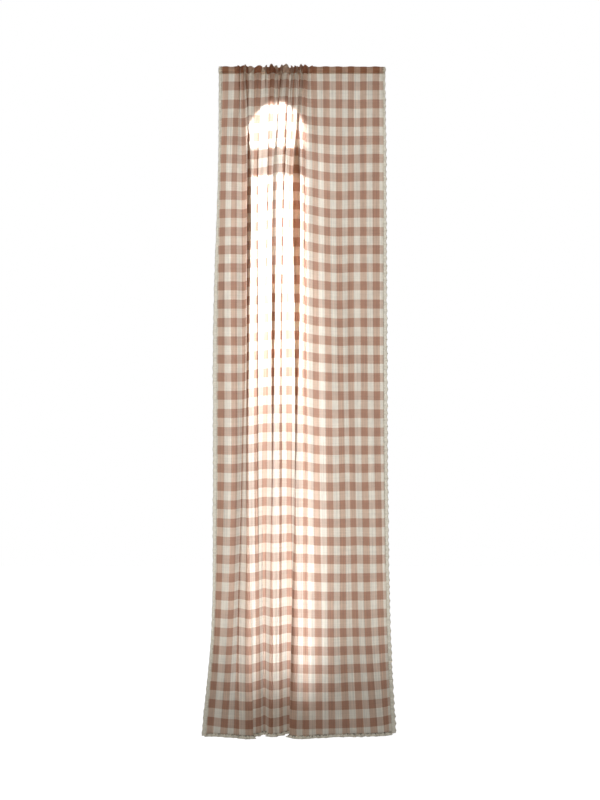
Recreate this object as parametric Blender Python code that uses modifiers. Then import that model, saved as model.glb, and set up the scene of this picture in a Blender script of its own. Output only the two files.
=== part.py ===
"""A gingham cotton curtain panel with a rod pocket and ruffled edging, in the folds in which it hangs.

Metres, +Z up, +X to the viewer's right, front towards -Y. The origin is on the axis of the rod that
the pocket takes, at the middle of the panel.
"""

import math

import bmesh
import bpy
import numpy as np

MM = 0.001

# The finished curtain
DROP = 1.600
POCKET_HEIGHT = 0.017
POCKET_DEPTH = 0.0145
HEM_FRILL_HEIGHT = 0.012
CLOTH_THICKNESS = 0.0012
PIECE_GAP = 0.0004
FRILL_GAP = 0.0011

POCKET_BOTTOM = -POCKET_HEIGHT / 2
PANEL_TOP = POCKET_BOTTOM - PIECE_GAP
HEM_LINE = POCKET_HEIGHT / 2 - DROP
PANEL_BOTTOM = HEM_LINE + HEM_FRILL_HEIGHT

# The heights at which the hang is described: head, chest, waist, knee, shin and hem
LEVELS = (POCKET_BOTTOM, -0.203, -0.597, -1.027, -1.361, HEM_LINE)

# One row for each dark stripe of the check, and one for each side edge. "flat" is its place on the flat
# cloth, and the six columns after it are how far across it hangs at each level. All are in millimetres.
ACROSS = (
    # flat, head, chest, waist, knee, shin, hem
    (-8.5, -190.0, -194.0, -201.0, -202.0, -210.0, -228.0),
    (0.0, -181.5, -186.0, -192.0, -193.5, -203.0, -219.5),
    (32.0, -153.0, -159.0, -161.0, -160.0, -171.0, -186.5),
    (64.0, -140.0, -140.0, -141.0, -145.5, -151.5, -154.0),
    (96.0, -128.0, -131.0, -132.5, -132.5, -127.0, -123.5),
    (128.0, -100.0, -106.0, -106.0, -105.0, -103.0, -101.0),
    (160.0, -75.0, -80.0, -87.0, -89.5, -89.5, -89.5),
    (192.0, -51.0, -61.0, -68.0, -73.0, -75.0, -75.0),
    (224.0, -31.0, -39.5, -49.0, -50.0, -51.0, -48.0),
    (256.0, -20.0, -25.0, -30.0, -30.0, -28.5, -30.0),
    (288.0, -5.0, -9.5, -9.5, -14.5, -17.0, -21.5),
    (320.0, 8.0, 7.0, 8.5, 9.5, 9.5, 9.0),
    (352.0, 29.0, 32.0, 33.5, 36.0, 41.0, 42.0),
    (384.0, 58.5, 59.5, 63.5, 68.0, 70.5, 73.5),
    (416.0, 89.5, 89.5, 92.0, 98.0, 100.0, 107.0),
    (448.0, 118.0, 118.0, 117.0, 122.0, 130.0, 140.5),
    (480.0, 148.0, 148.0, 149.5, 153.0, 160.0, 174.5),
    (512.0, 178.0, 178.0, 179.0, 184.0, 192.0, 205.5),
    (526.5, 191.0, 192.0, 193.5, 196.0, 204.0, 215.0),
)

# The same rows, with how far each stands forward of the rod's axis at the same levels
FORWARD = (
    # flat, head, chest, waist, knee, shin, hem
    (-8.5, 0.0, -2.0, -3.0, -3.0, -2.0, 3.0),
    (0.0, 0.0, 1.0, 1.0, 0.0, 0.0, 0.0),
    (32.0, 0.0, 3.0, 4.0, 5.0, 6.0, 6.0),
    (64.0, 0.0, -13.0, -17.0, -19.0, -8.0, 14.0),
    (96.0, 0.0, 9.0, 9.0, 9.0, 16.0, 22.0),
    (128.0, 0.0, -8.0, -6.0, 4.0, -2.0, -2.0),
    (160.0, 0.0, 6.0, -19.0, -19.0, -22.0, -21.0),
    (192.0, 0.0, -10.0, 6.0, 6.0, 6.0, 6.0),
    (224.0, 0.0, 8.0, -16.0, -10.0, -6.0, -6.0),
    (256.0, 0.0, -8.0, 8.0, -20.0, -20.0, -19.0),
    (288.0, 0.0, 8.0, 4.0, 8.0, 11.0, 14.0),
    (320.0, 0.0, -10.0, -15.0, -5.0, 15.0, 20.0),
    (352.0, 0.0, 4.0, 6.0, 9.0, 10.0, 14.0),
    (384.0, 0.0, 3.0, 3.0, 7.0, 8.0, 8.0),
    (416.0, 0.0, 0.0, -7.0, 2.0, 4.0, 4.0),
    (448.0, 0.0, 0.0, 4.0, -5.0, 0.0, 2.0),
    (480.0, 0.0, 0.0, 2.0, 2.0, 2.0, 0.0),
    (512.0, 0.0, 1.0, 0.0, 0.0, -3.0, -8.0),
    (526.5, 0.0, 0.0, -3.0, -2.0, -7.0, -15.0),
)

# The small pleats that the cloth is gathered into on the rod, left of the middle
GATHER_START = 0.046
GATHER_LENGTH = 0.293
PLEATS = 11
PLEAT_DEPTH = 0.0045
PLEAT_FADE = 0.11
KNOT_RISE = 0.0062
KNOT_SWELL = 0.0020

# The ruffled edging: how wide it shows at each level, and the size of its waves
SIDE_FRILL_WIDTH = {
    # head, chest, waist, knee, shin, hem
    "left": (7.0, 5.0, 10.0, 10.0, 8.0, 12.0),
    "right": (8.0, 9.0, 10.5, 10.5, 9.5, 12.5),
}
RUFFLE_PITCH = 0.0174
RUFFLE_DEPTH = 0.0035

# How finely the sheets are divided
GATHER_STEP = 0.0052
PLAIN_STEP = 0.0125
PANEL_ROWS = 17
ROW_CROWDING = 1.5
POCKET_SIDES = 12
POCKET_SQUARENESS = 0.75
WELD_DISTANCE = 0.00001

# Colours of the yarns, linear
TERRACOTTA_CHECK = (0.42, 0.22, 0.14, 1.0)
ECRU_COTTON = (0.55, 0.50, 0.38, 1.0)
COTTON_ROUGHNESS = 0.9


def curve_through(places, values, at):
    """Reads a smooth curve that passes through values at the given places."""
    places = np.asarray(places, dtype=float)
    values = np.asarray(values, dtype=float)
    slopes = np.gradient(values, places, axis=0)
    start = np.clip(np.searchsorted(places, at, side="right") - 1, 0, len(places) - 2)
    span = places[start + 1] - places[start]
    part = (at - places[start]) / span
    if values.ndim > 1:
        span = span[:, None]
        part = part[:, None]
    rise = values[start + 1] - values[start]
    slope_in = slopes[start] * span
    slope_out = slopes[start + 1] * span
    bend = slope_in + slope_out - 2 * rise
    return values[start] + slope_in * part + (3 * rise - 2 * slope_in - slope_out) * part**2 + bend * part**3


def gather_share(flat):
    """1 where the cloth is gathered on the rod, 0 where it hangs plain, with a short fade between."""
    fade = GATHER_LENGTH / PLEATS
    rising = np.clip((flat - GATHER_START) / fade, 0, 1)
    falling = np.clip((GATHER_START + GATHER_LENGTH - flat) / fade, 0, 1)
    return np.minimum(rising, falling)


def pleat_phase(flat):
    """The angle of the pleat wave at a place on the flat cloth."""
    return 2 * math.pi * PLEATS * (flat - GATHER_START) / GATHER_LENGTH


def hang(flat, heights):
    """Where the cloth hangs: points for each height (rows) and each place on the flat cloth (columns)."""
    across = np.array(ACROSS) * MM
    forward = np.array(FORWARD) * MM
    depth_below_rod = -np.array(LEVELS)
    across_rows = curve_through(depth_below_rod, across[:, 1:].T, -heights)
    forward_rows = curve_through(depth_below_rod, forward[:, 1:].T, -heights)
    points = np.zeros((len(heights), len(flat), 3))
    for row, height in enumerate(heights):
        pleat = PLEAT_DEPTH * math.exp((height - POCKET_BOTTOM) / PLEAT_FADE)
        waves = pleat * gather_share(flat) * np.cos(pleat_phase(flat))
        points[row, :, 0] = curve_through(across[:, 0], across_rows[row], flat)
        points[row, :, 1] = -curve_through(forward[:, 0], forward_rows[row], flat) - waves
        points[row, :, 2] = height
    return points


def flat_stations():
    """Places across the flat cloth, close together in the gathers and wider apart in the plain part."""
    left_edge = ACROSS[0][0] * MM
    right_edge = ACROSS[-1][0] * MM
    gather_end = GATHER_START + GATHER_LENGTH
    runs = (
        (left_edge, GATHER_START, PLAIN_STEP),
        (GATHER_START, gather_end, GATHER_STEP),
        (gather_end, right_edge, PLAIN_STEP),
    )
    stations = [np.linspace(a, b, math.ceil((b - a) / step), endpoint=False) for a, b, step in runs]
    return np.concatenate(stations + [[right_edge]])


def cotton(name, colour):
    """A matt cotton material."""
    material = bpy.data.materials.new(name)
    material.use_nodes = True
    surface = material.node_tree.nodes["Principled BSDF"]
    surface.inputs["Base Color"].default_value = colour
    surface.inputs["Roughness"].default_value = COTTON_ROUGHNESS
    surface.inputs["Metallic"].default_value = 0.0
    return material


def cloth_piece(name, points, material, collection, closed=False):
    """A sheet of cloth through a grid of points, thickened evenly to both sides."""
    rows, columns = points.shape[:2]
    sheet = bmesh.new()
    bmesh.ops.create_grid(sheet, x_segments=columns - 1, y_segments=rows - 1, size=0.5)
    for vert in sheet.verts:
        column = round((vert.co.x + 0.5) * (columns - 1))
        row = round((0.5 - vert.co.y) * (rows - 1))
        vert.co = points[row, column]
    if closed:
        bmesh.ops.remove_doubles(sheet, verts=sheet.verts, dist=WELD_DISTANCE)
    mesh = bpy.data.meshes.new(name)
    sheet.to_mesh(mesh)
    sheet.free()
    mesh.shade_smooth()
    mesh.materials.append(material)
    piece = bpy.data.objects.new(name, mesh)
    collection.objects.link(piece)
    thickness = piece.modifiers.new("Cloth thickness", "SOLIDIFY")
    thickness.thickness = CLOTH_THICKNESS
    thickness.offset = 0.0


def panel_points():
    """The main cloth, from just under the pocket to just above the hem frill."""
    share = np.linspace(0, 1, PANEL_ROWS) ** ROW_CROWDING
    heights = PANEL_TOP + (PANEL_BOTTOM - PANEL_TOP) * share
    return hang(flat_stations(), heights)


def pocket_points():
    """The double cloth round the rod: an oval tube, pinched into knots where it is gathered."""
    flat = flat_stations()
    top_line = hang(flat, np.array([POCKET_BOTTOM]))[0]
    around = np.linspace(0, 2 * math.pi, POCKET_SIDES + 1)
    around[-1] = 0.0
    knots = gather_share(flat) * (0.5 + 0.5 * np.cos(pleat_phase(flat))) ** 2
    half_depth = (POCKET_DEPTH - CLOTH_THICKNESS) / 2
    half_height = (POCKET_HEIGHT - CLOTH_THICKNESS) / 2
    points = np.zeros((len(around), len(flat), 3))
    for row, angle in enumerate(around):
        upward = math.cos(angle)
        frontward = math.sin(angle)
        swell = KNOT_SWELL * abs(frontward)
        rise = KNOT_RISE * max(upward, 0.0) ** 2
        squared_up = math.copysign(abs(upward) ** POCKET_SQUARENESS, upward)
        squared_front = math.copysign(abs(frontward) ** POCKET_SQUARENESS, frontward)
        points[row, :, 0] = top_line[:, 0]
        points[row, :, 1] = -squared_front * (half_depth + swell * knots)
        points[row, :, 2] = squared_up * half_height + rise * knots
    return points


def ruffle(count):
    """Steps to the back and to the front of the cloth in turn."""
    return RUFFLE_DEPTH * (1 - 2 * (np.arange(count) % 2))


def side_frill_points(side):
    """The edging down one side: its inner line follows the cloth's edge and its outer line waves."""
    flat_edge = ACROSS[0][0] * MM if side == "left" else ACROSS[-1][0] * MM
    outward = -1.0 if side == "left" else 1.0
    count = 2 * round((PANEL_TOP - HEM_LINE) / RUFFLE_PITCH) + 1
    heights = np.linspace(PANEL_TOP, HEM_LINE, count)
    inner = hang(np.array([flat_edge]), heights)[:, 0, :]
    inner[:, 0] += outward * FRILL_GAP
    widths = np.array(SIDE_FRILL_WIDTH[side]) * MM
    outer = inner.copy()
    outer[:, 0] += outward * curve_through(-np.array(LEVELS), widths, -heights)
    outer[:, 1] += ruffle(count)
    lines = (outer, inner) if side == "left" else (inner, outer)
    return np.stack(lines, axis=1)


def hem_frill_points():
    """The edging along the hem, between the two side frills."""
    left_edge = ACROSS[0][0] * MM
    right_edge = ACROSS[-1][0] * MM
    count = 2 * round((right_edge - left_edge) / RUFFLE_PITCH) + 1
    flat = np.linspace(left_edge, right_edge, count)
    inner = hang(flat, np.array([PANEL_BOTTOM]))[0]
    inner[:, 2] -= FRILL_GAP
    outer = hang(flat, np.array([HEM_LINE]))[0]
    outer[:, 1] += ruffle(count)
    for line in (inner, outer):
        line[0, 0] += FRILL_GAP
        line[-1, 0] -= FRILL_GAP
    return np.stack((inner, outer), axis=0)


def clear_scene():
    """Removes whatever the scene starts with."""
    for item in list(bpy.data.objects):
        bpy.data.objects.remove(item, do_unlink=True)


def main():
    clear_scene()
    collection = bpy.data.collections.new("Gingham curtain")
    bpy.context.scene.collection.children.link(collection)
    check = cotton("Check cotton", TERRACOTTA_CHECK)
    pocket_cloth = cotton("Pocket cotton", TERRACOTTA_CHECK)
    cloth_piece("panel", panel_points(), check, collection)
    cloth_piece("rod_pocket", pocket_points(), pocket_cloth, collection, closed=True)
    for side in ("left", "right"):
        edging = cotton(f"Edging cotton {side}", ECRU_COTTON)
        cloth_piece(f"frill_{side}", side_frill_points(side), edging, collection)
    cloth_piece("frill_hem", hem_frill_points(), cotton("Edging cotton hem", ECRU_COTTON), collection)


main()
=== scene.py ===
"""Dresses the hung gingham curtain: its checked cloth, rod pocket, ruffled edging and stitching.

Metres, +Z up, +X to the viewer's right, front towards -Y. The X axis is the axis of the rod that the
pocket takes.
"""

import math

import bpy
import numpy as np
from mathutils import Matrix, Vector


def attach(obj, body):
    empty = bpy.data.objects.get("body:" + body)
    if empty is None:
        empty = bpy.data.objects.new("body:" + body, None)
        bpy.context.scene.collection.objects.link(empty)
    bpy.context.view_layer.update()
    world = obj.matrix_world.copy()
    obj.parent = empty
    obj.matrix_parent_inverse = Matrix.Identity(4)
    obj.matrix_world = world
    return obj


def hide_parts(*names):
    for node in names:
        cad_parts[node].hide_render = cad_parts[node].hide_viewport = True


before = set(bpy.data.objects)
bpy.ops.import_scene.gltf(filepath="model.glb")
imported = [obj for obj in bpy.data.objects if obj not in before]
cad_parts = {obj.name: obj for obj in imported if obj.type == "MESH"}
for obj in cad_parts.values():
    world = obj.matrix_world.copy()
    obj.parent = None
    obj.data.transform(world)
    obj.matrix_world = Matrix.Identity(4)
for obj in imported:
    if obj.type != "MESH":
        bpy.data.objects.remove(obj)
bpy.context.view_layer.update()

# The checked cloth: one light, sheer cotton sheet woven in ecru and terracotta yarns, 0.54 m by 1.6 m. It
# hangs from its own rod pocket, where it is pushed together left of the middle, so that small pleats start
# there, run into each other and open into a few broad soft folds towards the hem.
MM = 0.001
POCKET_BOTTOM = -0.0085
HEM_LINE = -1.5915
PANEL_TOP = -0.0072
PANEL_BOTTOM = -1.5850
PANEL_COLUMNS = 760
PANEL_ROWS = 112
EVEN_COLUMNS = 2000
ROW_CLOSING = 1.12
CLOTH_MAP = "Cloth"

# The heights at which the hang is described, from the pocket's seam down to the hem
LEVELS = (POCKET_BOTTOM, -0.203, -0.597, -1.027, -1.361, HEM_LINE)

# For both side edges and each dark stripe, the place on the flat cloth and how far across it hangs at each
# level, in millimetres
ACROSS = (
    (-12.0, -191.5, -195.0, -202.5, -203.5, -211.0, -229.5),
    (0.0, -181.5, -186.0, -192.0, -193.5, -203.0, -219.5),
    (32.0, -153.0, -159.0, -161.0, -160.0, -171.0, -186.5),
    (64.0, -140.0, -138.0, -137.0, -140.5, -149.5, -154.0),
    (96.0, -128.0, -129.0, -130.5, -131.5, -127.0, -123.5),
    (128.0, -100.0, -106.0, -106.0, -105.0, -103.0, -101.0),
    (160.0, -75.0, -80.0, -87.0, -89.5, -89.5, -89.5),
    (192.0, -51.0, -59.0, -65.0, -69.5, -72.5, -74.0),
    (224.0, -31.0, -39.5, -48.0, -49.0, -50.0, -48.0),
    (256.0, -20.0, -25.0, -30.0, -30.0, -28.5, -30.0),
    (288.0, -5.0, -9.5, -9.5, -14.5, -17.0, -21.5),
    (320.0, 8.0, 7.0, 8.5, 9.5, 9.5, 9.0),
    (352.0, 29.0, 32.0, 33.5, 36.0, 41.0, 42.0),
    (384.0, 58.5, 59.5, 63.5, 68.0, 70.5, 73.5),
    (416.0, 89.5, 89.5, 92.0, 98.0, 100.0, 107.0),
    (448.0, 118.0, 118.0, 117.0, 122.0, 130.0, 140.5),
    (480.0, 148.0, 148.0, 149.5, 153.0, 160.0, 174.5),
    (512.0, 178.0, 178.0, 179.0, 184.0, 192.0, 205.5),
    (529.5, 195.5, 196.0, 196.5, 199.5, 206.5, 217.5),
)
LEFT_EDGE = ACROSS[0][0] * MM
RIGHT_EDGE = ACROSS[-1][0] * MM

# The same places, with how far each stands forward of the rod's axis
FORWARD = (
    (-12.0, 0.0, -2.0, -3.0, -3.0, -2.0, 3.0),
    (0.0, 0.0, 1.0, 1.0, 0.0, 0.0, 0.0),
    (32.0, 0.0, 3.0, 4.0, 5.0, 6.0, 6.0),
    (64.0, 0.0, -13.0, -17.0, -19.0, -8.0, 14.0),
    (96.0, 0.0, 9.0, 9.0, 9.0, 16.0, 22.0),
    (128.0, 0.0, -8.0, -6.0, 4.0, -2.0, -2.0),
    (160.0, 0.0, 6.0, -19.0, -19.0, -22.0, -21.0),
    (192.0, 0.0, -10.0, 6.0, 6.0, 6.0, 6.0),
    (224.0, 0.0, 8.0, -16.0, -10.0, -6.0, -6.0),
    (256.0, 0.0, -8.0, 8.0, -20.0, -20.0, -19.0),
    (288.0, 0.0, 8.0, 4.0, 8.0, 11.0, 14.0),
    (320.0, 0.0, -10.0, -15.0, -5.0, 15.0, 20.0),
    (352.0, 0.0, 4.0, 6.0, 9.0, 10.0, 14.0),
    (384.0, 0.0, 3.0, 3.0, 7.0, 8.0, 8.0),
    (416.0, 0.0, 0.0, -7.0, 2.0, 4.0, 4.0),
    (448.0, 0.0, 0.0, 4.0, -5.0, 0.0, 2.0),
    (480.0, 0.0, 0.0, 2.0, 2.0, 2.0, 0.0),
    (512.0, 0.0, 1.0, 0.0, 0.0, -3.0, -8.0),
    (529.5, 0.0, 0.0, -3.0, -2.0, -7.0, -15.0),
)

# How far the weft rides up where the cloth is gathered, and at the two bottom corners
WEFT_LIFT = (
    (-12.0, 0.0, 0.0, 0.0, 0.0, 1.0, 6.0),
    (32.0, 0.0, 0.0, 0.0, 0.0, 0.0, 2.0),
    (64.0, 0.3, 1.8, 1.5, 0.7, 0.4, 0.3),
    (96.0, 1.2, 7.2, 6.0, 2.8, 1.6, 1.2),
    (128.0, 2.0, 11.7, 9.8, 4.6, 2.6, 2.0),
    (160.0, 2.6, 15.3, 12.8, 6.0, 3.4, 2.6),
    (192.0, 3.0, 18.0, 15.0, 7.0, 4.0, 3.0),
    (256.0, 3.0, 18.0, 15.0, 7.0, 4.0, 3.0),
    (288.0, 2.7, 16.2, 13.5, 6.3, 3.6, 2.7),
    (320.0, 2.0, 11.7, 9.8, 4.6, 2.6, 2.0),
    (352.0, 0.6, 3.6, 3.0, 1.4, 0.8, 0.6),
    (384.0, 0.0, 0.0, 0.0, 0.0, 0.0, 0.0),
    (480.0, 0.0, 0.0, 0.0, 0.0, 0.0, 3.0),
    (529.5, 0.0, 0.0, 0.0, 0.0, 2.0, 8.0),
)

# The knots that the cloth is pushed into on the rod: place on the flat cloth in millimetres, and size
KNOTS = (
    (33.0, 0.35),
    (62.0, 0.25),
    (91.0, 0.75),
    (110.0, 1.0),
    (125.0, 0.65),
    (146.0, 0.8),
    (164.6, 1.0),
    (180.5, 0.85),
    (195.0, 0.75),
    (214.0, 0.85),
    (242.0, 0.8),
    (269.0, 0.7),
    (294.0, 0.8),
    (321.0, 0.65),
    (350.0, 0.15),
)
PLEAT_DEPTH = 0.0090
PLEAT_FADE = 0.06

# Creases, where the cloth is drawn over itself and lies in up to three layers: place on the flat cloth,
# width, the side that lies in front (1 right, -1 left), then how far it is drawn together at each level
CREASES = (
    (66.0, 4.0, 1, 0.0, 0.0, 3.0, 9.0, 8.0, 2.0),
    (45.0, 2.4, 1, 7.0, 0.0, 0.0, 0.0, 0.0, 0.0),
    (76.0, 2.4, 1, 5.0, 0.0, 0.0, 0.0, 0.0, 0.0),
    (92.0, 7.5, 1, 1.0, 14.0, 14.0, 9.0, 0.0, 0.0),
    (101.0, 3.0, -1, 9.0, 0.0, 0.0, 0.0, 0.0, 0.0),
    (108.0, 6.0, -1, 0.0, 0.0, 0.0, 0.0, 4.0, 13.0),
    (118.0, 2.4, 1, 8.5, 0.0, 0.0, 0.0, 0.0, 0.0),
    (134.0, 4.5, -1, 8.0, 10.0, 9.0, 6.0, 2.0, 0.0),
    (146.0, 2.4, 1, 8.0, 0.0, 0.0, 0.0, 0.0, 0.0),
    (157.0, 4.0, 1, 7.0, 9.0, 5.0, 0.0, 0.0, 0.0),
    (172.0, 2.6, -1, 9.0, 1.0, 0.0, 0.0, 0.0, 0.0),
    (183.0, 2.4, 1, 6.0, 0.0, 0.0, 0.0, 0.0, 0.0),
    (194.0, 9.0, 1, 7.0, 21.0, 20.0, 10.0, 2.0, 0.0),
    (205.0, 2.4, -1, 7.0, 0.0, 0.0, 0.0, 0.0, 0.0),
    (224.0, 4.5, -1, 8.0, 9.0, 8.0, 7.0, 5.0, 2.0),
    (240.0, 2.6, 1, 6.0, 0.0, 0.0, 0.0, 0.0, 0.0),
    (255.0, 3.4, 1, 8.0, 3.0, 0.0, 0.0, 0.0, 0.0),
    (274.0, 8.0, 1, 0.0, 0.0, 0.0, 6.0, 18.0, 21.0),
    (289.0, 12.0, 1, 3.0, 31.0, 31.0, 13.0, 0.0, 0.0),
    (308.0, 3.0, -1, 8.0, 0.0, 0.0, 0.0, 0.0, 0.0),
    (320.0, 4.5, -1, 1.0, 8.0, 8.0, 5.0, 3.0, 0.0),
    (335.0, 2.6, 1, 7.0, 0.0, 0.0, 0.0, 0.0, 0.0),
)
CREASE_DEPTH = 0.5
CREASE_FINENESS = 2.0

# Crinkles: width and length of a bump, then how high it stands where the cloth hangs plain and gathered
CRINKLES = (
    (0.0044, 0.30, 0.0003, 0.0013),
    (0.007, 0.12, 0.0006, 0.0009),
    (0.019, 0.34, 0.0011, 0.0011),
)
CRINKLE_SEED = 20
CRINKLE_START = 0.010
FULL_CRINKLE = 0.5
TOP_CRINKLE_GROWTH = 3.0
TOP_CRINKLE_FADE = 0.045

# How far the yarns stray, with a seed and the width and length of a bend for warp and weft
YARN_WANDER = 0.0009
YARN_BENDS = ((31, 0.05, 0.22), (32, 0.04, 0.15))


def curve_through(places, values, at):
    """Reads a smooth curve that passes through values at the given places."""
    places = np.asarray(places, dtype=float)
    values = np.asarray(values, dtype=float)
    slopes = np.gradient(values, places, axis=0)
    start = np.clip(np.searchsorted(places, at, side="right") - 1, 0, len(places) - 2)
    span = places[start + 1] - places[start]
    part = (at - places[start]) / span
    if values.ndim > 1:
        span = span[:, None]
        part = part[:, None]
    rise = values[start + 1] - values[start]
    slope_in = slopes[start] * span
    slope_out = slopes[start + 1] * span
    bend = slope_in + slope_out - 2 * rise
    sag = 3 * rise - 2 * slope_in - slope_out
    return values[start] + slope_in * part + sag * part**2 + bend * part**3


def level_table(rows, flat, heights, correction=0.0):
    """Reads a table of millimetres by place and level, as metres for each height and place.

    The correction, in metres, is added at the table's own places before the places between are read.
    """
    table = np.array(rows) * MM
    at_heights = curve_through(-np.array(LEVELS), table[:, 1:].T, -heights) + correction
    return np.stack([curve_through(table[:, 0], row, flat) for row in at_heights])


def uneven(seed, across, down, width, length):
    """A smooth random relief between -1 and 1, with bumps of that width and length."""
    steps_across = (across - np.min(across)) / width
    steps_down = (down - np.min(down)) / length
    shape = (int(np.max(steps_down)) + 2, int(np.max(steps_across)) + 2)
    heights = np.random.default_rng(seed).uniform(-1, 1, shape)
    column = steps_across.astype(int)
    row = steps_down.astype(int)
    part_across = steps_across - column
    part_down = steps_down - row
    part_across = part_across**2 * (3 - 2 * part_across)
    part_down = part_down**2 * (3 - 2 * part_down)
    upper = heights[row, column] * (1 - part_across) + heights[row, column + 1] * part_across
    lower = heights[row + 1, column] * (1 - part_across) + heights[row + 1, column + 1] * part_across
    return upper * (1 - part_down) + lower * part_down


def gathered(flat):
    """How tightly the cloth is pushed together on the rod: 0 where it hangs plain, up to 1."""
    places, sizes = np.array(KNOTS).T
    return np.interp(flat, places * MM, sizes, left=0.0, right=0.0)


def pleats(flat):
    """How far each place is into a pleat: up to 1 on a knot, down to -1 between two, 0 in plain cloth."""
    places = np.array(KNOTS)[:, 0] * MM
    turn = np.interp(flat, places, np.arange(len(places)))
    return gathered(flat) * np.cos(2 * math.pi * turn)


def drawn_over(flat, heights):
    """How far the creases shift the cloth to the right and to the front, at each height and place."""
    right = np.zeros((len(heights), len(flat)))
    front = np.zeros_like(right)
    for place, width, front_side, *pulls in CREASES:
        pull = np.maximum(0, curve_through(-np.array(LEVELS), np.array(pulls) * MM, -heights))[:, None]
        off = (flat / MM - place) / width
        draw = pull * off / (1 + off**2)
        right -= draw
        front += front_side * CREASE_DEPTH * draw
    return right, front


def hang(flat, heights):
    """Where the cloth hangs: points for each height (rows) and each place on the flat cloth (columns)."""
    points = np.zeros((len(heights), len(flat), 3))
    fade = np.exp((heights - POCKET_BOTTOM) / PLEAT_FADE)[:, None]
    right, front = drawn_over(flat, heights)
    right_at_stripes = drawn_over(np.array(ACROSS)[:, 0] * MM, heights)[0]
    points[:, :, 0] = level_table(ACROSS, flat, heights, -right_at_stripes) + right
    points[:, :, 1] = -level_table(FORWARD, flat, heights) - front - PLEAT_DEPTH * fade * pleats(flat)
    points[:, :, 2] = heights[:, None]
    return points


def cloth_mesh(name, points, flat_map, closed=False):
    """A mesh sheet through a grid of points, facing out where rows run down and columns to the right."""
    rows, columns = flat_map.shape[:2]
    point_rows = rows - 1 if closed else rows
    row, column = np.meshgrid(np.arange(rows - 1), np.arange(columns - 1), indexing="ij")
    corners = [(row + 1, column), (row + 1, column + 1), (row, column + 1), (row, column)]
    faces = np.stack([(r % point_rows) * columns + c for r, c in corners], axis=-1).reshape(-1, 4)
    places = np.stack([flat_map[r, c] for r, c in corners], axis=-2).reshape(-1, 2)
    mesh = bpy.data.meshes.new(name)
    mesh.from_pydata(points[:point_rows].reshape(-1, 3).tolist(), [], faces.tolist())
    mesh.uv_layers.new(name=CLOTH_MAP).uv.foreach_set("vector", places.ravel())
    mesh.shade_smooth()
    return mesh


def sewn_piece(name, mesh, material):
    """An object of that mesh in that cloth, which rides with the curtain."""
    mesh.materials.clear()
    mesh.materials.append(material)
    piece = bpy.data.objects.new(name, mesh)
    bpy.context.scene.collection.objects.link(piece)
    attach(piece, "root")
    return piece


class Yarn:
    """A node socket that can be written into sums, so that 1 - mask * 0.5 adds its own Math nodes."""

    def __init__(self, tree, socket=None):
        self.tree = tree
        self.socket = socket

    def node(self, kind, settings=None, sockets=None, out=0):
        """Adds a node of that kind with its settings, then the values or links of its sockets."""
        made = self.tree.nodes.new(kind)
        for name, value in (settings or {}).items():
            setattr(made, name, value)
        for name, value in (sockets or {}).items():
            if isinstance(value, Yarn):
                self.tree.links.new(value.socket, made.inputs[name])
            else:
                made.inputs[name].default_value = value
        return Yarn(self.tree, made.outputs[out] if made.outputs else None)

    def also(self, out):
        """Another output of the same node."""
        return Yarn(self.tree, self.socket.node.outputs[out])

    def math(self, operation, first, second):
        return self.node("ShaderNodeMath", {"operation": operation}, {0: first, 1: second})

    def __add__(self, other):
        return self.math("ADD", self, other)

    def __radd__(self, other):
        return self.math("ADD", other, self)

    def __sub__(self, other):
        return self.math("SUBTRACT", self, other)

    def __rsub__(self, other):
        return self.math("SUBTRACT", other, self)

    def __mul__(self, other):
        return self.math("MULTIPLY", self, other)

    def __rmul__(self, other):
        return self.math("MULTIPLY", other, self)


# Widths and colours of the check, the colours linear
STRIPE_PITCH = 0.0320
STRIPE_HALF = 0.0083
BAND_PITCH = 0.04349
BAND_HALF = 0.0107
FIRST_BAND = -0.0377
YARN_BLUR = 0.0006
EDGE_WANDER = 0.0012
ECRU = (0.765, 0.705, 0.60, 1.0)
WARP_TINT = (0.58, 0.405, 0.295, 1.0)
WEFT_TINT = (0.56, 0.405, 0.31, 1.0)
TERRACOTTA = (0.355, 0.158, 0.085, 1.0)
COTTON_ROUGHNESS = 0.88
COTTON_GLOSS = 0.25
YARN_HEIGHT = 0.0007
LIGHT_THROUGH = 0.72

# Light that comes through is paler than the yarns, because some of it passes between them
PALE_LIGHT = (1.0, 0.95, 0.90, 1.0)
PALE_SHARE = 0.13

# Streaks of the weave, so many to a metre across and down the cloth, and how far each changes the tone
WARP_STREAKS = (620.0, 9.0)
WARP_TONE = 0.34
WEFT_STREAKS = (11.0, 560.0)
WEFT_TONE = 0.26
BLOTCHES = (60.0, 45.0)
BLOTCH_TONE = 0.22
THICK_YARNS = (260.0, 2.5)
THICK_YARN_TONE = 0.6
NOISE_DETAIL = 2.0

# Relief of the weave: its coarse grain, and how much of it comes from the streaks
GRAIN = (170.0, 30.0)
WARP_RELIEF = 0.8
WEFT_RELIEF = 0.6


def yarn_noise(shade, place, across, down):
    """Random streaks, with so many to a metre across and down the cloth, between about -0.5 and 0.5."""
    stretch = {0: place, 1: (across, down, 1.0)}
    drawn_out = shade.node("ShaderNodeVectorMath", {"operation": "MULTIPLY"}, stretch)
    sockets = {"Vector": drawn_out, "Scale": 1.0, "Detail": NOISE_DETAIL, "Roughness": 0.6}
    return shade.node("ShaderNodeTexNoise", {"noise_dimensions": "2D"}, sockets) - 0.5


def soft_step(shade, value, low, high, before=0.0, after=1.0):
    """One number up to low, another from high on, and a soft step between."""
    step = {"Value": value, "From Min": low, "From Max": high, "To Min": before, "To Max": after}
    return shade.node("ShaderNodeMapRange", {"interpolation_type": "SMOOTHSTEP"}, step)


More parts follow.
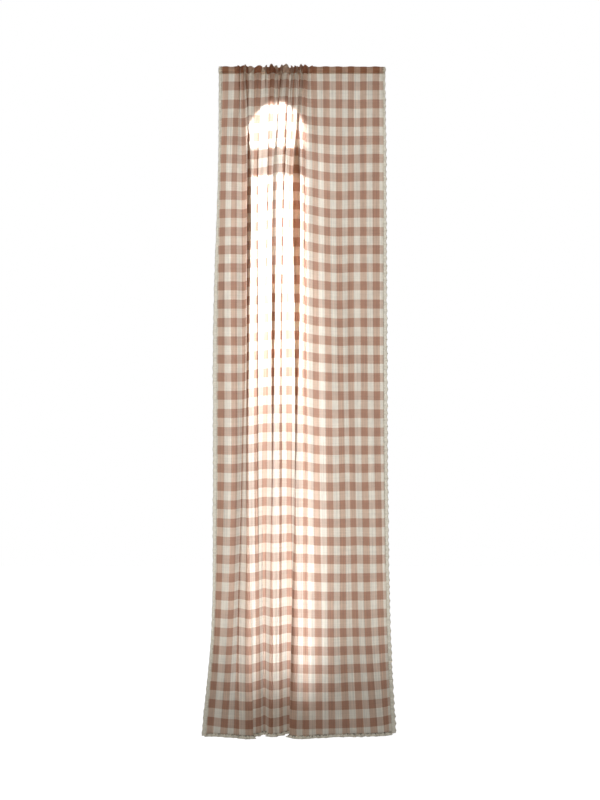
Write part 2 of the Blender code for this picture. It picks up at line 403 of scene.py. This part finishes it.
def cotton_surface(shade, colour, relief, through_share):
    """Matt cotton of that colour and relief, thin enough to let a share of the light through."""
    bump = shade.node("ShaderNodeBump", None, {"Strength": 0.5, "Distance": YARN_HEIGHT, "Height": relief})
    face = {
        "Base Color": colour,
        "Roughness": COTTON_ROUGHNESS,
        "Specular IOR Level": COTTON_GLOSS,
        "Normal": bump,
    }
    matt = shade.node("ShaderNodeBsdfPrincipled", None, face)
    lit = shade.node("ShaderNodeMix", {"data_type": "RGBA"}, {0: PALE_SHARE, 6: colour, 7: PALE_LIGHT}, 2)
    through = shade.node("ShaderNodeBsdfTranslucent", None, {"Color": lit, "Normal": bump})
    cloth = shade.node("ShaderNodeMixShader", None, {0: through_share, 1: matt, 2: through})
    shade.node("ShaderNodeOutputMaterial", None, {"Surface": cloth})


def new_cotton(name):
    """An empty material and its node tree's first yarn."""
    material = bpy.data.materials.new(name)
    material.use_nodes = True
    material.node_tree.nodes.clear()
    return material, Yarn(material.node_tree)


def check_cotton():
    """The woven check: ecru, half tones where one set of dark yarns runs, terracotta where both do."""
    material, shade = new_cotton("check_cotton")
    place = shade.node("ShaderNodeUVMap", {"uv_map": CLOTH_MAP})
    across = shade.node("ShaderNodeSeparateXYZ", None, {0: place})
    down = across.also("Y")
    warp_streaks = yarn_noise(shade, place, *WARP_STREAKS)
    weft_streaks = yarn_noise(shade, place, *WEFT_STREAKS)
    masks = []
    for way, pitch, half, shift, wander in (
        (across, STRIPE_PITCH, STRIPE_HALF, 0.0, weft_streaks),
        (down, BAND_PITCH, BAND_HALF, FIRST_BAND, warp_streaks),
    ):
        from_middle = shade.math("PINGPONG", way - shift, pitch / 2) + wander * EDGE_WANDER
        masks.append(soft_step(shade, from_middle, half - YARN_BLUR, half + YARN_BLUR, 1.0, 0.0))
    warp, weft = masks
    mix = {"data_type": "RGBA"}
    light_row = shade.node("ShaderNodeMix", mix, {0: warp, 6: ECRU, 7: WARP_TINT}, 2)
    dark_row = shade.node("ShaderNodeMix", mix, {0: warp, 6: WEFT_TINT, 7: TERRACOTTA}, 2)
    check = shade.node("ShaderNodeMix", mix, {0: weft, 6: light_row, 7: dark_row}, 2)
    tone = 1 + warp_streaks * WARP_TONE + weft_streaks * WEFT_TONE
    tone = tone + yarn_noise(shade, place, *BLOTCHES) * BLOTCH_TONE
    tone = tone + yarn_noise(shade, place, *THICK_YARNS) * THICK_YARN_TONE
    colour = shade.node("ShaderNodeVectorMath", {"operation": "SCALE"}, {0: check, "Scale": tone})
    relief = warp_streaks * WARP_RELIEF + weft_streaks * WEFT_RELIEF + yarn_noise(shade, place, *GRAIN)
    cotton_surface(shade, colour, relief, LIGHT_THROUGH)
    return material


check = check_cotton()
even_columns = np.linspace(LEFT_EDGE, RIGHT_EDGE, EVEN_COLUMNS)
fineness = np.ones_like(even_columns)
for place, width, *others in CREASES:
    fineness += CREASE_FINENESS * np.exp(-(((even_columns / MM - place) / (2 * width)) ** 2))
fineness = np.cumsum(fineness)
column_steps = np.linspace(fineness[0], fineness[-1], PANEL_COLUMNS)
flat_columns = np.interp(column_steps, fineness, even_columns)
panel_heights = PANEL_TOP + (PANEL_BOTTOM - PANEL_TOP) * np.linspace(0, 1, PANEL_ROWS) ** ROW_CLOSING
panel_points = hang(flat_columns, panel_heights)
flat_across, flat_down = np.meshgrid(flat_columns, panel_heights)
settled = np.clip((POCKET_BOTTOM - flat_down) / CRINKLE_START, 0, 1)
under_pocket = np.exp((flat_down - POCKET_BOTTOM) / TOP_CRINKLE_FADE)
in_gathers = np.minimum(1, gathered(flat_columns) / FULL_CRINKLE) * (1 + TOP_CRINKLE_GROWTH * under_pocket)
for number, (bump_width, bump_length, plain_height, gathered_height) in enumerate(CRINKLES):
    crinkle = uneven(CRINKLE_SEED + number, flat_across, flat_down, bump_width, bump_length)
    bump_height = plain_height + (gathered_height - plain_height) * in_gathers
    panel_points[:, :, 1] += bump_height * settled * crinkle
weft_lift = level_table(WEFT_LIFT, flat_columns, panel_heights)
panel_map = np.stack([flat_across, flat_down - weft_lift], axis=-1)
for way, (seed, bend_width, bend_length) in enumerate(YARN_BENDS):
    bends = uneven(seed, flat_across, flat_down, bend_width, bend_length)
    panel_map[:, :, way] += YARN_WANDER * settled * bends
panel_mesh = cloth_mesh("panel_cloth", panel_points, panel_map)
panel = sewn_piece("panel_cloth", panel_mesh, check)
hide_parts("panel")

# The rod pocket: the top of the same cloth, turned over to the back and stitched down in one line. It is
# empty. Where the cloth is pushed together it stands up in a row of small uneven knots.
POCKET_AROUND = 40
POCKET_COLUMNS = 640
POCKET_TOP = 0.0085
POCKET_HALF_DEPTH = 0.0066
POCKET_SCALLOP = 0.0005
POCKET_WALL = 0.023
POCKET_FRONT_MIDDLE = 0.003
BELLY_ROUNDNESS = 0.8
SEAM_NARROWING = 0.35
KNOT_FULLNESS = 0.6
KNOT_RISE = 0.0050
KNOT_SWELL = 0.0040
LEAST_SWELL = 0.3
VALLEY_SINK = 0.0012
VALLEY_DRAW = 0.0150
TWIST_AT_SEAM = 0.4

# Random unevenness along the pocket: its seed, the width of a bump and how far it moves the cloth
TOP_RIPPLE = (50, 0.014, 0.0006)
KNOT_ROUGHNESS = (51, 0.0052, 0.0032)
KNOT_LEAN = (52, 0.015, 0.0042)
TWIST_UP = (53, 0.0070, 0.0150)
TWIST_ALONG = (54, 0.0080, 0.0150)
KNOT_PUFF = (55, 0.0062, 0.0050)

pocket_flat = np.linspace(LEFT_EDGE, RIGHT_EDGE, POCKET_COLUMNS)
seam_line = hang(pocket_flat, np.array([POCKET_BOTTOM]))[0]
tightness = gathered(pocket_flat)
folds = pleats(pocket_flat)
knots = np.clip(folds, 0, 1) ** KNOT_FULLNESS
valleys = np.clip(-folds, 0, 1)


def uneven_pocket(share, seed, bump_width, most):
    """That random unevenness at each place along the pocket, in proportion to its share there."""
    return most * share * uneven(seed, pocket_flat, np.zeros_like(pocket_flat), bump_width, 1.0)


top_rise = KNOT_RISE * knots - VALLEY_SINK * valleys
top_rise += uneven_pocket(1.0, *TOP_RIPPLE) + uneven_pocket(tightness, *KNOT_ROUGHNESS)
top_rise += POCKET_SCALLOP * np.cos(2 * math.pi * pocket_flat / STRIPE_PITCH)
lean = uneven_pocket(tightness, *KNOT_LEAN)
twist_up = uneven_pocket(tightness, *TWIST_UP) - VALLEY_DRAW * valleys
twist_along = uneven_pocket(tightness, *TWIST_ALONG)
fine_puffs = uneven_pocket(tightness, *KNOT_PUFF)
around = np.linspace(0, 2 * math.pi, POCKET_AROUND + 1)
pocket_points = np.zeros((len(around), len(pocket_flat), 3))
pocket_map = np.zeros((len(around), len(pocket_flat), 2))
for row, angle in enumerate(around):
    upward = 0.5 + 0.5 * math.cos(angle)
    frontward = math.sin(angle)
    belly = math.copysign(abs(frontward) ** BELLY_ROUNDNESS, frontward)
    belly *= 1 - SEAM_NARROWING * (1 - upward) ** 2
    height = POCKET_BOTTOM + (POCKET_TOP - POCKET_BOTTOM) * upward
    swell = abs(frontward) * (KNOT_SWELL * (folds + LEAST_SWELL) + fine_puffs)
    pocket_points[row, :, 0] = seam_line[:, 0] + upward**2 * lean
    pocket_points[row, :, 1] = seam_line[:, 1] * (1 - upward) ** 2 - belly * (POCKET_HALF_DEPTH + swell)
    pocket_points[row, :, 2] = height + upward**3 * top_rise
    twist = TWIST_AT_SEAM + (1 - TWIST_AT_SEAM) * upward
    pocket_map[row, :, 0] = pocket_flat + twist * twist_along
    pocket_map[row, :, 1] = POCKET_FRONT_MIDDLE + POCKET_WALL * (0.5 - angle / math.pi) + twist * twist_up
pocket_mesh = cloth_mesh("pocket_cloth", pocket_points, pocket_map, closed=True)
pocket = sewn_piece("pocket_cloth", pocket_mesh, check)
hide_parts("rod_pocket")

# The ruffled edging: a narrow strip of plain ecru cotton, gathered along one side and sewn down both sides
# of the cloth and along its hem. Its free edge stands in small loops, finished with a rolled thread edge.
# Its widths down the sides are in millimetres, one for each level.
FRILL_WIDTH = {
    "left": (5.5, 3.5, 8.0, 8.0, 5.5, 9.5),
    "right": (4.0, 5.8, 7.5, 7.0, 7.2, 9.5),
}
FRILL_TUCK = 0.0020
FRILL_BEHIND = 0.0006
FRILL_STEP = 0.0013
FRILL_ROWS = 8
FRILL_DEEP = 0.012
SIDE_FRILL_END = HEM_LINE + 0.0015
HEM_FRILL_DROP = 0.0062
HEM_COLUMNS = 480
RUFFLE_PITCH = 0.0174
RUFFLE_DEPTH = {"left": 0.0016, "right": 0.0036, "hem": 0.0075}
RUFFLE_SWAY = {"left": 0.06, "right": 0.14, "hem": 0.20}
RUFFLE_SEED = {"left": 39, "right": 41, "hem": 60}
RUFFLE_LOOP = 0.55
LOOP_CURL = 1.3
SEAM_RIPPLE = 0.0005
GATHER_RATIO = 1.8
COLLAR_CALM = 0.3
FRILL_GROWTH = 14.0

# How uneven the ruffles' spacing, depth and reach are: how much, and the length of a change
RUFFLE_CHANGES = ((1.3, 0.05), (0.35, 0.023), (0.10, 0.011))

# The edging's colours, its streaks, so many to a metre along and out from the seam, and where shade is
# painted on by the seam
FRILL_ECRU = (0.80, 0.76, 0.64)
GATHER_STREAKS = (150.0, 30.0)
# How far the gather streaks lighten and darken the colour, as painted light and shade of the tight gathers
PAINTED_GATHER_SHADING = 0.3
THREAD_STREAKS = (60.0, 700.0)
THREAD_TONE = 0.2
THREAD_RELIEF = 0.5
# Painted shade: a dark brown mixed into the edging near its seam, where the tight gathers would shade each
# other
PAINTED_SHADE_COLOUR = (0.10, 0.07, 0.045, 1.0)
PAINTED_SHADE_EDGES = (0.001, 0.007)
PAINTED_SHADE_WANDER = 0.016


def edging_cotton(name, painted_seam_shade, through_share):
    """Plain ecru cotton with painted shading of its tight gathers: streaks across, and darker by the seam.
    """
    material, shade = new_cotton(name)
    place = shade.node("ShaderNodeUVMap", {"uv_map": CLOTH_MAP})
    gathers = yarn_noise(shade, place, *GATHER_STREAKS)
    yarns = yarn_noise(shade, place, *THREAD_STREAKS)
    from_seam = shade.node("ShaderNodeSeparateXYZ", None, {0: place}, 1)
    # Painted shade: dark near the seam, its edge wandering with the gather streaks
    painted_shade_near_seam = soft_step(shade, from_seam + gathers * PAINTED_SHADE_WANDER, *PAINTED_SHADE_EDGES, 1.0, 0.0)
    # The gather streaks are painted light and shade in the colour, and real relief in the bump
    tone = {0: FRILL_ECRU, "Scale": 1 + gathers * PAINTED_GATHER_SHADING + yarns * THREAD_TONE}
    ecru = shade.node("ShaderNodeVectorMath", {"operation": "SCALE"}, tone)
    painted_shade_mix = {0: painted_shade_near_seam * painted_seam_shade, 6: ecru, 7: PAINTED_SHADE_COLOUR}
    colour = shade.node("ShaderNodeMix", {"data_type": "RGBA"}, painted_shade_mix, 2)
    cotton_surface(shade, colour, gathers + yarns * THREAD_RELIEF, through_share)
    return material


def ruffled_strip(seam, outward, width, depth, sway, seed):
    """A gathered strip from a seam line: its grid of points and its flat map.

    Depth is how far its ruffles stand to both sides, and sway how much they change its width.
    """
    along = np.concatenate([[0.0], np.cumsum(np.linalg.norm(np.diff(seam, axis=0), axis=1))])
    tangent = np.gradient(seam, axis=0)
    tangent /= np.linalg.norm(tangent, axis=1)[:, None]
    stand = np.cross(tangent, outward)
    stand /= np.linalg.norm(stand, axis=1)[:, None]
    still = np.zeros_like(along)
    changes = []
    for number, (most, length) in enumerate(RUFFLE_CHANGES):
        changes.append(most * uneven(seed + number, along, still, length, 1.0))
    turn = 2 * math.pi * along / RUFFLE_PITCH + changes[0]
    full = 1 + changes[1]
    reach = width * (1 + changes[2])
    points = []
    for share in np.linspace(0, 1, FRILL_ROWS):
        out = -FRILL_TUCK + share * (reach + FRILL_TUCK) * (1 + sway * share * np.sin(turn))
        wave = depth * full * share * np.sin(turn) + SEAM_RIPPLE * (1 - share) * np.sin(3 * turn + 1)
        loop = depth * RUFFLE_LOOP * full * share**LOOP_CURL * np.sin(2 * turn)
        points.append(seam + outward * out[:, None] + stand * wave[:, None] + tangent * loop[:, None])
    points = np.stack(points)
    out_from_seam = np.linspace(0, FRILL_DEEP, FRILL_ROWS)
    flat_map = np.stack(np.meshgrid(along * GATHER_RATIO, out_from_seam), axis=-1)
    return points, flat_map


# The hem's edging carries much stronger painted shade by its seam than the edging down the sides
edging = edging_cotton("edging_cotton", painted_seam_shade=0.12, through_share=0.62)
hem_edging = edging_cotton("hem_edging_cotton", painted_seam_shade=0.9, through_share=0.3)
rolled_edges = {"sides": [], "hem": []}
side_columns = round((POCKET_BOTTOM - HEM_LINE) / FRILL_STEP)
side_heights = np.linspace(POCKET_BOTTOM, SIDE_FRILL_END, side_columns)
growth = np.minimum(1, COLLAR_CALM + FRILL_GROWTH * (POCKET_BOTTOM - side_heights))
half_way = POCKET_AROUND // 2
for side, edge, outward in (("left", LEFT_EDGE, -1.0), ("right", RIGHT_EDGE, 1.0)):
    outer = 0 if side == "left" else -1
    side_seam = hang(np.array([edge]), side_heights)[:, 0, :]
    side_seam[:, 1] += FRILL_BEHIND
    side_width = curve_through(-np.array(LEVELS), np.array(FRILL_WIDTH[side]) * MM, -side_heights)
    collar = pocket_points[:, outer]
    collar = np.concatenate([collar[half_way + 1 : -1], collar[:half_way]])
    seam = np.concatenate([collar, side_seam])
    width = np.concatenate([np.full(len(collar), side_width[0]), side_width])
    depth = RUFFLE_DEPTH[side] * np.concatenate([np.full(len(collar), COLLAR_CALM), growth])
    sway = RUFFLE_SWAY[side]
    sideways = np.array([outward, 0.0, 0.0])
    points, flat_map = ruffled_strip(seam, sideways, width, depth, sway, RUFFLE_SEED[side])
    if side == "left":
        points = points[::-1]
        flat_map = flat_map[::-1]
    rolled_edges["sides"].append(points[outer])
    frill_mesh = cloth_mesh(f"edging_{side}", points.transpose(1, 0, 2), flat_map.transpose(1, 0, 2))
    frill = sewn_piece(f"edging_{side}", frill_mesh, edging)
    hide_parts(f"frill_{side}")
hem_flat = np.linspace(LEFT_EDGE, RIGHT_EDGE, HEM_COLUMNS)
hem_seam = hang(hem_flat, np.array([PANEL_BOTTOM]))[0]
hem_seam[:, 1] += FRILL_BEHIND
downward = np.array([0.0, 0.0, -1.0])
hem_ruffles = (RUFFLE_DEPTH["hem"], RUFFLE_SWAY["hem"], RUFFLE_SEED["hem"])
hem_points, hem_map = ruffled_strip(hem_seam, downward, HEM_FRILL_DROP, *hem_ruffles)
rolled_edges["hem"].append(hem_points[-1])
hem_mesh = cloth_mesh("edging_hem", hem_points, hem_map)
hem_frill = sewn_piece("edging_hem", hem_mesh, hem_edging)
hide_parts("frill_hem")

# The rolled edge: the edging's free side is turned round a thread and oversewn, which leaves a fine round
# cord all along it. It is thicker along the hem, where the ruffles are deepest.
ROLL_RADIUS = {"sides": 0.0006, "hem": 0.0011}
ROLL_SIDES = 6
THREAD_ECRU = (0.84, 0.81, 0.73)
THREAD_TWISTS = 500.0
TWIST_TONE = 0.3
THREAD_LIGHT_THROUGH = 0.4


def plain_thread():
    """The ecru sewing thread."""
    material, shade = new_cotton("ecru_thread")
    place = shade.node("ShaderNodeTexCoord", out="Object")
    twists = {"Vector": place, "Scale": THREAD_TWISTS, "Detail": NOISE_DETAIL}
    twist = shade.node("ShaderNodeTexNoise", None, twists) - 0.5
    tone = {0: THREAD_ECRU, "Scale": 1 + twist * TWIST_TONE}
    colour = shade.node("ShaderNodeVectorMath", {"operation": "SCALE"}, tone)
    cotton_surface(shade, colour, twist, THREAD_LIGHT_THROUGH)
    return material


def sewing_tree(name, inputs):
    """A geometry node tree with those named inputs, a guide line and an output, as its first yarn."""
    tree = bpy.data.node_groups.new(name, "GeometryNodeTree")
    tree.interface.new_socket("Guide line", in_out="INPUT", socket_type="NodeSocketGeometry")
    for label, kind in inputs.items():
        tree.interface.new_socket(label, in_out="INPUT", socket_type=kind)
    tree.interface.new_socket("Sewn", in_out="OUTPUT", socket_type="NodeSocketGeometry")
    return Yarn(tree).node("NodeGroupInput")


def tie_off(start, sewn):
    """Ends a sewing tree: what it has sewn is made real, in the thread that the tree is given."""
    solid = start.node("GeometryNodeRealizeInstances", None, {"Geometry": sewn})
    dye = {"Geometry": solid, "Material": start.also("Thread")}
    dyed = start.node("GeometryNodeSetMaterial", None, dye)
    start.node("NodeGroupOutput", None, {"Sewn": dyed})


def sewn_along(name, lines, tree, values):
    """Runs a sewing tree on guide lines and returns what it makes as a plain mesh."""
    guide_mesh = bpy.data.meshes.new(name)
    verts = np.concatenate(lines)
    edges = []
    start = 0
    for line in lines:
        edges += [(start + i, start + i + 1) for i in range(len(line) - 1)]
        start += len(line)
    guide_mesh.from_pydata(verts.tolist(), edges, [])
    guide = bpy.data.objects.new(name, guide_mesh)
    bpy.context.scene.collection.objects.link(guide)
    sewing = guide.modifiers.new(name, "NODES")
    sewing.node_group = tree
    for item in tree.interface.items_tree:
        if item.name in values:
            sewing[item.identifier] = values[item.name]
    evaluated = guide.evaluated_get(bpy.context.evaluated_depsgraph_get())
    made = bpy.data.meshes.new_from_object(evaluated)
    bpy.data.objects.remove(guide, do_unlink=True)
    return made


thread = plain_thread()
start = sewing_tree("Rolled edge", {"Radius": "NodeSocketFloat", "Thread": "NodeSocketMaterial"})
path = start.node("GeometryNodeMeshToCurve", None, {"Mesh": start})
round_thread = {0: ROLL_SIDES, 4: start.also("Radius")}
ring = start.node("GeometryNodeCurvePrimitiveCircle", {"mode": "RADIUS"}, round_thread)
swept = {"Curve": path, "Profile Curve": ring, "Fill Caps": True}
tie_off(start, start.node("GeometryNodeCurveToMesh", None, swept))
for where, lines in rolled_edges.items():
    roll_values = {"Radius": ROLL_RADIUS[where], "Thread": thread}
    roll_mesh = sewn_along(f"rolled_edge_{where}", lines, start.tree, roll_values)
    roll_mesh.shade_smooth()
    sewn_piece(f"rolled_edge_{where}", roll_mesh, thread)

# The stitching: rows of straight machine stitches in ecru thread. One holds the pocket down, and one holds
# the edging along each side and the hem; every row shows on both faces.
STITCH_LENGTH = 0.0026
STITCH_PITCH = 0.0036
STITCH_RADIUS = 0.00028
STITCH_STAND = 0.6
CLOTH_THICKNESS = 0.0004
EDGE_INSET = 0.001
POCKET_ROW = POCKET_BOTTOM - 0.0012
HEM_ROW = PANEL_BOTTOM + 0.0011
SIDE_ROWS = (PANEL_TOP - 0.004, PANEL_BOTTOM + 0.001)
GUIDE_POINTS = 900

start = sewing_tree(
    "Straight stitching",
    {
        "Pitch": "NodeSocketFloat",
        "Length": "NodeSocketFloat",
        "Radius": "NodeSocketFloat",
        "Thread": "NodeSocketMaterial",
    },
)
row_line = start.node("GeometryNodeMeshToCurve", None, {"Mesh": start})
every_pitch = {"Curve": row_line, "Length": start.also("Pitch")}
holes = start.node("GeometryNodeResampleCurve", {"mode": "LENGTH"}, every_pitch)
bead = start.node("GeometryNodeMeshUVSphere", None, {"Segments": 6, "Rings": 4, "Radius": 0.5})
thick = start.also("Radius") * 2
size = start.node("ShaderNodeCombineXYZ", None, {0: start.also("Length"), 1: thick, 2: thick})
stitch = start.node("GeometryNodeTransform", None, {"Geometry": bead, "Scale": size})
heading = start.node("GeometryNodeInputTangent")
turned = start.node("FunctionNodeAlignRotationToVector", {"axis": "X"}, {"Vector": heading})
at_holes = {"Points": holes, "Instance": stitch, "Rotation": turned}
tie_off(start, start.node("GeometryNodeInstanceOnPoints", None, at_holes))

stitch_values = {"Pitch": STITCH_PITCH, "Length": STITCH_LENGTH, "Radius": STITCH_RADIUS, "Thread": thread}
stitched = {"pocket": [], "edging": []}
inner_heights = np.linspace(*SIDE_ROWS, GUIDE_POINTS)
seam_flat = np.linspace(LEFT_EDGE + EDGE_INSET, RIGHT_EDGE - EDGE_INSET, GUIDE_POINTS)
for face in (-1, 1):
    off = np.array([0.0, face * (CLOTH_THICKNESS / 2 + STITCH_RADIUS * STITCH_STAND), 0.0])
    stitched["pocket"].append(hang(seam_flat, np.array([POCKET_ROW]))[0] + off)
    stitched["edging"].append(hang(seam_flat, np.array([HEM_ROW]))[0] + off)
    for edge in (seam_flat[0], seam_flat[-1]):
        stitched["edging"].append(hang(np.array([edge]), inner_heights)[:, 0, :] + off)
for where, lines in stitched.items():
    stitch_mesh = sewn_along(f"stitches_{where}", lines, start.tree, stitch_values)
    sewn_piece(f"stitches_{where}", stitch_mesh, thread)

# The studio: a pale floor below the hem, soft light from the front and from behind, a strip behind the
# double cloth of the pocket, a light behind the gathers that makes them glow, and the camera at the
# curtain's middle.
TOWARDS_FRONT = (0.0, -1.0, 0.0)


def soft_light(name, place, size, radiance, toward, colour=(1.0, 1.0, 1.0), spread=math.pi):
    """An area light that the camera doesn't see, by its radiance."""
    lamp = bpy.data.lights.new(name, "AREA")
    lamp.shape = "RECTANGLE"
    lamp.size, lamp.size_y = size
    lamp.spread = spread
    lamp.color = colour
    lamp.energy = radiance * math.pi * size[0] * size[1]
    light = bpy.data.objects.new(name, lamp)
    light.location = place
    light.rotation_mode = "QUATERNION"
    light.rotation_quaternion = Vector(toward).to_track_quat("-Z", "Y")
    light.visible_camera = False
    bpy.context.scene.collection.objects.link(light)
    return lamp


soft_light(
    "front_softbox",
    place=(-0.9, -2.3, 0.3),
    size=(2.4, 2.4),
    radiance=1.3,
    toward=(0.9, 2.3, -0.8),
)
soft_light(
    "back_softbox",
    place=(0.0, 0.14, -0.69),
    size=(0.62, 1.42),
    radiance=0.86,
    toward=TOWARDS_FRONT,
)
soft_light(
    "pocket_strip",
    place=(-0.006, 0.08, 0.027),
    size=(0.41, 0.020),
    radiance=5.0,
    toward=TOWARDS_FRONT,
    spread=math.radians(44),
)

# One light close behind the gathered part, bright between two uprights and under a low arch, with a dimmer
# bar across it, and fading downwards and to both sides
GLOW_DAYLIGHT = (0.91, 0.945, 1.0)
GLOW_BEHIND = 0.042
GLOW_SPREAD = math.radians(24)
GLOW_SIDES = (-0.225, 0.105)
GLOW_HEIGHTS = (-1.54, -0.06)
BRIGHT_GLOW = 7.4
LOW_GLOW = 1.4
LOW_SLANT = 0.02
LEFT_GLOW = 0.52
RIGHT_GLOW = 1.1
RIGHT_TOP_DIM = 0.55
BAR_SHARE = 0.14
ARCH_DIM = 0.22
ARCH_MIDDLE = -0.0585
ARCH_TOP = -0.077
ARCH_FALL = 11.5

# Where each soft step in it starts and ends, in height
GLOW_END = (-1.55, -1.37)
GLOW_FADE = (-0.95, -0.44)
SLANT_HEIGHTS = (-2.27, -0.47)
RIGHT_TOP_FADE = (-0.85, -0.30)
SIDES_TOP = (-0.26, -0.12)
BAR_BOTTOM = (-0.256, -0.250)
BAR_TOP = (-0.187, -0.181)
ARCH_EDGE = (-0.004, 0.004)

# The same from left to right
LEFT_START = (-0.190, -0.155)
LEFT_END = (-0.145, -0.122)
LEFT_UPRIGHT = (-0.132, -0.126)
RIGHT_UPRIGHT = (-0.011, 0.023)
RIGHT_START = (-0.005, 0.015)
RIGHT_END = (0.015, 0.095)

glow_place = (sum(GLOW_SIDES) / 2, GLOW_BEHIND, sum(GLOW_HEIGHTS) / 2)
glow_size = (GLOW_SIDES[1] - GLOW_SIDES[0], GLOW_HEIGHTS[1] - GLOW_HEIGHTS[0])
glow = soft_light("glow", glow_place, glow_size, 1.0, TOWARDS_FRONT, GLOW_DAYLIGHT, GLOW_SPREAD)
glow.use_nodes = True
glow.node_tree.nodes.clear()
lamp_glass = Yarn(glow.node_tree)


def rising(value, edges):
    """0 below the first edge, 1 above the second, and a soft step between."""
    return soft_step(lamp_glass, value, *edges)


def falling(value, edges):
    """1 below the first edge, 0 above the second, and a soft step between."""
    return soft_step(lamp_glass, value, *edges, 1.0, 0.0)


on_lamp = lamp_glass.node("ShaderNodeNewGeometry", out="Position")
right = lamp_glass.node("ShaderNodeSeparateXYZ", None, {0: on_lamp})
up = right.also("Z")
from_arch = right - ARCH_MIDDLE
under_arch = rising(ARCH_TOP - from_arch * from_arch * ARCH_FALL - up, ARCH_EDGE)
slanted = right - falling(up, SLANT_HEIGHTS) * LOW_SLANT
between = rising(right, LEFT_UPRIGHT) * falling(slanted, RIGHT_UPRIGHT)
above_bar = rising(up, BAR_TOP)
beside_bar = 1 - rising(up, BAR_BOTTOM) * (1 - above_bar)
core = LOW_GLOW + rising(up, GLOW_FADE) * (BRIGHT_GLOW - LOW_GLOW)
core = core * (BAR_SHARE + beside_bar * (1 - BAR_SHARE)) * (1 - ARCH_DIM * above_bar)
left_side = rising(right, LEFT_START) * falling(right, LEFT_END) * LEFT_GLOW
right_side = rising(right, RIGHT_START) * falling(right, RIGHT_END) * RIGHT_GLOW
right_side = right_side * (1 - RIGHT_TOP_DIM * rising(up, RIGHT_TOP_FADE))
sides = (left_side + right_side) * falling(up, SIDES_TOP)
strength = (core * between * under_arch + sides) * rising(up, GLOW_END)
shine = lamp_glass.node("ShaderNodeEmission", None, {"Strength": strength})
lamp_glass.node("ShaderNodeOutputLight", None, {"Surface": shine})

# The room is white to the camera and lights the cloth only dimly
WHITE = (1.0, 1.0, 1.0, 1.0)
ROOM_LIGHT = 0.22

world = bpy.data.worlds.new("studio")
world.use_nodes = True
world.node_tree.nodes.clear()
studio = Yarn(world.node_tree)
seen = studio.node("ShaderNodeLightPath", out="Is Camera Ray")
backdrop = studio.node("ShaderNodeBackground", None, {"Color": WHITE, "Strength": 1.0})
room = studio.node("ShaderNodeBackground", None, {"Color": WHITE, "Strength": ROOM_LIGHT})
both = studio.node("ShaderNodeMixShader", None, {0: seen, 1: room, 2: backdrop})
studio.node("ShaderNodeOutputWorld", None, {"Surface": both})
bpy.context.scene.world = world

# The floor is matt and pale, and glows far more to the camera than onto the cloth
FLOOR_HEIGHT = -1.85
FLOOR_HALF = 5.0
FLOOR_PAINT = (0.94, 0.94, 0.93, 1.0)
FLOOR_ROUGHNESS = 0.9
FLOOR_GLOW = 0.15
FLOOR_LIFT = 0.68

floor_mesh = bpy.data.meshes.new("floor")
corners = [(x * FLOOR_HALF, y * FLOOR_HALF, FLOOR_HEIGHT) for x, y in ((-1, -1), (1, -1), (1, 1), (-1, 1))]
floor_mesh.from_pydata(corners, [], [(0, 1, 2, 3)])
paint = bpy.data.materials.new("floor_paint")
paint.use_nodes = True
painted = paint.node_tree.nodes["Principled BSDF"]
painted.inputs["Base Color"].default_value = FLOOR_PAINT
painted.inputs["Roughness"].default_value = FLOOR_ROUGHNESS
painted.inputs["Emission Color"].default_value = WHITE
floor_shade = Yarn(paint.node_tree)
floor_seen = floor_shade.node("ShaderNodeLightPath", out="Is Camera Ray")
floor_strength = FLOOR_GLOW + floor_seen * FLOOR_LIFT
paint.node_tree.links.new(floor_strength.socket, painted.inputs["Emission Strength"])
floor_mesh.materials.append(paint)
floor = bpy.data.objects.new("floor", floor_mesh)
bpy.context.scene.collection.objects.link(floor)

# The camera stands level, straight in front of the curtain's middle
CAMERA_LENS = 56.5
CAMERA_SENSOR = 36.0
CAMERA_PLACE = (-0.0036, -3.0, -0.788)

camera_data = bpy.data.cameras.new("photo_camera")
camera_data.lens = CAMERA_LENS
camera_data.sensor_width = CAMERA_SENSOR
camera = bpy.data.objects.new("photo_camera", camera_data)
camera.location = CAMERA_PLACE
camera.rotation_euler = (math.pi / 2, 0.0, 0.0)
bpy.context.scene.collection.objects.link(camera)
bpy.context.scene.camera = camera
bpy.context.scene.view_settings.view_transform = "Standard"
